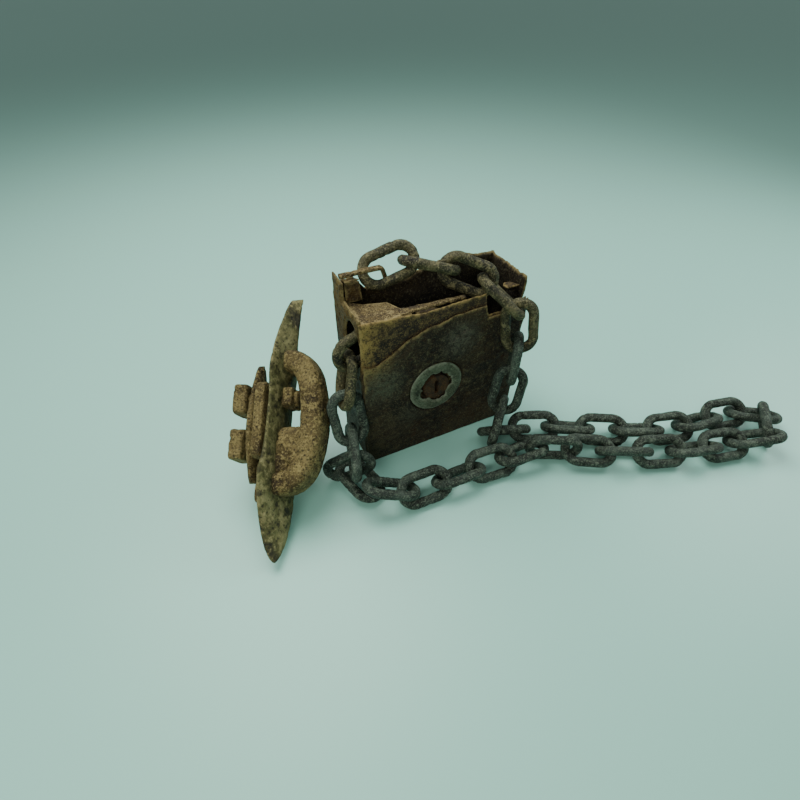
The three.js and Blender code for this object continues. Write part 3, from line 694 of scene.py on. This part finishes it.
roseSkin = sheet([(roseAt[0] + roseRadius * np.cos(a),
                   roseAt[1] + roseRadius * np.sin(a)) for a in np.linspace(0, 2 * np.pi, 90,
                           endpoint=False)],
                 roseAt, roseHole, ((0, (roseLow[1] + roseHigh[1]) / 2, 0), xAxis, zAxis, -yAxis),
                 rose["thick"], 0.25, 0.3, 43,
                 rings=30, spokes=500, thin=0.5)
makePiece("rose_disc", [roseSkin], tarnishedRose, "case", ["cylinder_rose"])
for node, material in (("cylinder_barrel", plugRust), ("locking_bolt", dullSteel),
                       ("bolt_guide_upper", dullSteel),
                       ("bolt_guide_lower", dullSteel), ("bolt_spring", dullSteel),
                       ("case_pillar", dullSteel),
                       ("drive_cam", dullSteel), ("key_plug", plugRust)):
    mesh = nodes[node].data
    mesh.materials.clear()
    mesh.materials.append(material)
print("lock made")

# Chain: each link takes its place, length and width from its own node.

chain = {"wire": 2.85, "bow": 7.45, "straight": 6.65, "around": 150, "sides": 30}


def linkFrame(node):
    # A link's centre and its axes by length, width and thickness, from how its points spread.
    co = np.empty(len(nodes[node].data.vertices) * 3)
    nodes[node].data.vertices.foreach_get("co", co)
    co = np.unique(np.round(co.reshape(-1, 3) / mm, 3), axis=0)
    centre = (co.min(0) + co.max(0)) / 2
    for _ in range(3):  # the middle of its ends, then of its sides
        spread = np.linalg.svd(co - co.mean(0), full_matrices=False)[2]
        centre = sum(spread[k] * ((co @ spread[k]).min() + (co @ spread[k]).max()) / 2 for k in range(3))
    return centre, spread


def stadium(n):
    # The wire's centre line: two straights joined by two half circles, at even steps.
    r, h = chain["bow"], chain["straight"]
    total = 2 * np.pi * r + 4 * h
    s = np.linspace(0, total, n, endpoint=False)
    arc, run = np.pi * r, 2 * h
    t = s[:, None]
    x = np.select([s < arc, s < arc + run, s < 2 * arc + run],
                  [h + r * np.sin(s / r), h - (s - arc), -h - r * np.sin((s - arc - run) / r)],
                  -h + (s - 2 * arc - run))
    y = np.select([s < arc, s < arc + run, s < 2 * arc + run],
                  [-r * np.cos(s / r), r + 0 * s, r * np.cos((s - arc - run) / r)], -r + 0 * s)
    return np.concatenate([x[:, None], y[:, None], 0 * t], 1), s


line, along = stadium(chain["around"])
linkNames = sorted(n for n in nodes if n.startswith("chain_link_"))
for k, node in enumerate(linkNames):
    centre, axes = linkFrame(node)
    path = centre + line @ axes
    seed = 100 + k * 7

    def wear(p, t, seed=seed):
        # Long fibres along the wire, blisters and pits, with the whole never fatter than the clean wire.
        grain = np.stack(np.broadcast_arrays(along[:, None] / 7.0, np.cos(t)[None] * 2.6,
                                             np.sin(t)[None] * 2.6), -1)
        fibre = roughNoise(grain, 1.0, seed, 3)
        bulk = roughNoise(p, 6.0, seed + 2, 3)
        holes = pits(p, 2.6, seed + 4, 0.35)
        return np.clip(-0.1 + fibre * 0.26 + bulk * 0.22 - holes * 0.45, -0.9, 0.05)

    skin = sweep(path, np.tile(axes[2], (len(path), 1)), chain["wire"], chain["wire"], closed=True,
                 sides=chain["sides"], bump=wear)
    # links above 62 mm take the olive material: partly rust, partly a painted highlight on the upper links
    upper = centre[2] > 62
    makePiece("worn_" + node, [skin], chainOliveRustAndHighlight if upper else chainIron, "link_" + node[-2:], [node])
print("chain made", len(linkNames))

# Post anchor, in its own axes: x towards the eye, y from horn to horn, z across the palm.

turnA, turnB = joints["square_bolt_a_turn"], joints["square_bolt_b_turn"]
anchorX = np.array(turnA["axis"], float)
anchorX /= np.linalg.norm(anchorX)
anchorAt = (np.array(turnA["pos_m"]) + np.array(turnB["pos_m"])) / 2 / mm
anchorY = np.array(turnA["pos_m"]) - np.array(turnB["pos_m"])
anchorY /= np.linalg.norm(anchorY)
anchorZ = np.cross(anchorX, anchorY)
anchorAxes = np.stack([anchorX, anchorY, anchorZ])
anchor = {"length": 145, "palm": 40, "palmThick": 6.5, "eyeLength": 80, "eyeOut": 25, "eyeWide": 19,
          "bar": 13,
          "slab": (42, 26, 6), "clamp": (66, 21, 6.5), "head": (8.5, 17.5), "nut": (6.0, 15.0),
          "gap": 0.3, "bolt": 4.75}
palmHalf = anchor["palmThick"] / 2


def leafShell(length, width, x0, x1, tip, seed, twist=0.0, crown=0.0, ridge=0.0, waist=0.0, n=190,
              sides=96, bump=0.5):
    # Sections across a leaf: its width swells from one tip to the other and its edges thin. Its lower
    # half may twist, its tips may bend towards the eye, its upper half may carry a ridge, and its middle
    # may be drawn in to a waist.
    s = np.linspace(-1, 1, n)
    wide = tip + (width / 2 - tip) * np.clip(1 - np.abs(s) ** 1.7, 0, 1) ** 0.85
    wide = wide * np.sqrt(1.02 - np.abs(s) ** 30) * (1 - waist * np.exp(-((s / 0.32) ** 4)))
    t = np.linspace(0, 2 * np.pi, sides, endpoint=False)
    c, q = np.cos(t), np.sin(t)
    c = np.sign(c) * np.abs(c) ** 0.7
    q = np.sign(q) * np.abs(q) ** 0.75
    half = (x1 - x0) / 2 * (0.55 + 0.45 * np.clip(1 - np.abs(s) ** 2.2, 0, 1))
    z = wide[:, None] * c
    x = (x0 + x1) / 2 + half[:, None] * q * (1 - 0.35 * np.abs(c) ** 3) + crown * (np.abs(s) ** 2)[:, None]
    x = x + ridge * ease(s, 0.1, 0.5)[:, None] * np.clip(q, 0, 1) * (1 - np.abs(c)) ** 1.5
    angle = (twist * np.clip(-s, 0, 1) ** 1.5)[:, None]
    turned = np.stack([x * np.cos(angle) - z * np.sin(angle),
                       np.broadcast_to((s * length / 2)[:, None], x.shape),
                       x * np.sin(angle) + z * np.cos(angle)], -1)
    outward = np.stack([half[:, None] * q, 0 * x, z], -1)
    outward /= np.maximum(np.linalg.norm(outward, axis=-1, keepdims=True), 1e-6)
    rough = roughNoise(turned, 7.0, seed, 4) * bump - pits(turned, 3.0, seed + 3, 0.5) * bump * 1.1
    turned = turned + outward * np.clip(rough - 0.25, -1.5, 0.0)[..., None]
    pts = anchorAt + turned.reshape(-1, 3) @ anchorAxes
    ends = anchorAt + np.stack([turned[0].mean(0), turned[-1].mean(0)]) @ anchorAxes
    ring = np.arange(sides)
    tris = np.concatenate([fanFaces(ring, n * sides), fanFaces((n - 1) * sides + ring, n * sides + 1)])
    return np.concatenate([pts, ends]) * mm, gridFaces(n, sides, False, True), tris


def eyeBow(seed):
    # The eye's bar: a rounded block section carried from one foot on the palm, out and round, to the other.
    a = np.linspace(-np.pi / 2, np.pi / 2, 150)
    outX, halfY = anchor["eyeOut"] - anchor["bar"] / 2, anchor["eyeLength"] / 2 - anchor["bar"] / 2
    x = palmHalf - 1 + outX * np.cos(a) ** 0.62
    y = halfY * np.sign(np.sin(a)) * np.abs(np.sin(a)) ** 1.05
    path = anchorAt + np.stack([x, y, 0 * x], -1) @ anchorAxes
    middle = np.cos(a) ** 0.5
    wide = anchor["eyeWide"] / 2 * (0.92 + 0.08 * middle)
    thick = anchor["bar"] / 2 * (0.96 + 0.06 * middle)
    bump = lambda p, t: np.clip(roughNoise(p, 8.0, seed, 4) * 0.6 - pits(p, 2.4, seed + 3,
            0.6) * 0.7 - 0.05, -1.5, 0.1)
    return sweep(path, np.tile(anchorZ, (len(path), 1)), wide, thick, 0.62, sides=84, bump=bump)


palm = leafShell(anchor["length"], anchor["palm"], -palmHalf, palmHalf, 2.2, 201, twist=0.6, crown=4.0,
                 ridge=4.0, waist=0.3)
makePiece("anchor_palm", [palm], hornIron, "anchor", ["anchor_eye"])
makePiece("anchor_bow", [eyeBow(211)], castIron, "anchor", [])

# Rust has filled the lower half of the eye, round the lower nut.
crust = lambda seed, size: (lambda p: np.clip(roughNoise(p, 6.0, seed, 4) * size - pits(p, 2.6, seed + 3,
        0.5) * size - size * 0.3, -1.6, 0.0))


def inAnchor(x, y, z):
    return anchorAt + np.array([x, y, z], float) @ anchorAxes


filling = lump(inAnchor(8.5, -17, 0), anchorAxes, (8.0, 14.0, 8.6), 0.55, crust(215, 1.4), 120, 80)
makePiece("eye_crust", [filling], castIron, "anchor", [])

slabFront = -palmHalf - anchor["gap"]
slabLong, slabWide, slabThick = anchor["slab"]
clampLong, clampWide, clampThick = anchor["clamp"]
clampFront = slabFront - slabThick - anchor["gap"]
headFront = clampFront - clampThick - anchor["gap"]
slabBlock = lump(inAnchor(slabFront - slabThick / 2, 0, 0), anchorAxes,
                 (slabThick / 2, slabLong / 2, slabWide / 2), 0.22, crust(221, 0.6), 160, 90)
makePiece("backing_slab_worn", [slabBlock], castIron, "anchor", ["backing_slab"])
clampLeaf = leafShell(clampLong, clampWide, clampFront - clampThick, clampFront, 2.5, 231, n=150,
                      sides=80, bump=0.6)
makePiece("clamp_bar_worn", [clampLeaf], castIron, "anchor", ["clamp_bar"])
footY = -slabLong / 2 - anchor["gap"] - 11
footBlock = lump(inAnchor(slabFront - 2.75, footY, 0), anchorAxes, (2.75, 11, 6), 0.35, crust(241, 0.6),
                 90, 60)
makePiece("foot_wedge_worn", [footBlock], castIron, "anchor", ["foot_wedge"])

for node, body, y, seed in (("square_bolt_upper", "square_bolt_a", 12.5, 251),
                            ("square_bolt_lower", "square_bolt_b", -12.5, 261)):
    headThick, headWide = anchor["head"]
    nutThick, nutWide = anchor["nut"]
    nutStart = palmHalf + anchor["gap"]
    shank = np.stack([inAnchor(x, y, 0) for x in np.linspace(headFront - 1, nutStart + nutThick + 1.5, 40)])
    shells = [
        lump(inAnchor(headFront - headThick / 2, y, 0), anchorAxes,
             (headThick / 2, headWide / 2, headWide / 2), 0.26, crust(seed, 0.9), 110, 70),
        sweep(shank, np.tile(anchorZ, (40, 1)), anchor["bolt"], anchor["bolt"], sides=40,
              bump=lambda p, t: np.clip(roughNoise(p, 3.0, seed, 3) * 0.3 - 0.2, -0.6, 0.0)),
        lump(inAnchor(nutStart + nutThick / 2, y, 0), anchorAxes,
             (nutThick / 2, nutWide * 0.375, nutWide / 2), 0.25, crust(seed + 5, 0.5), 80, 50),
    ]
    makePiece(node + "_worn", shells, castIron, body, [node])
print("anchor made")
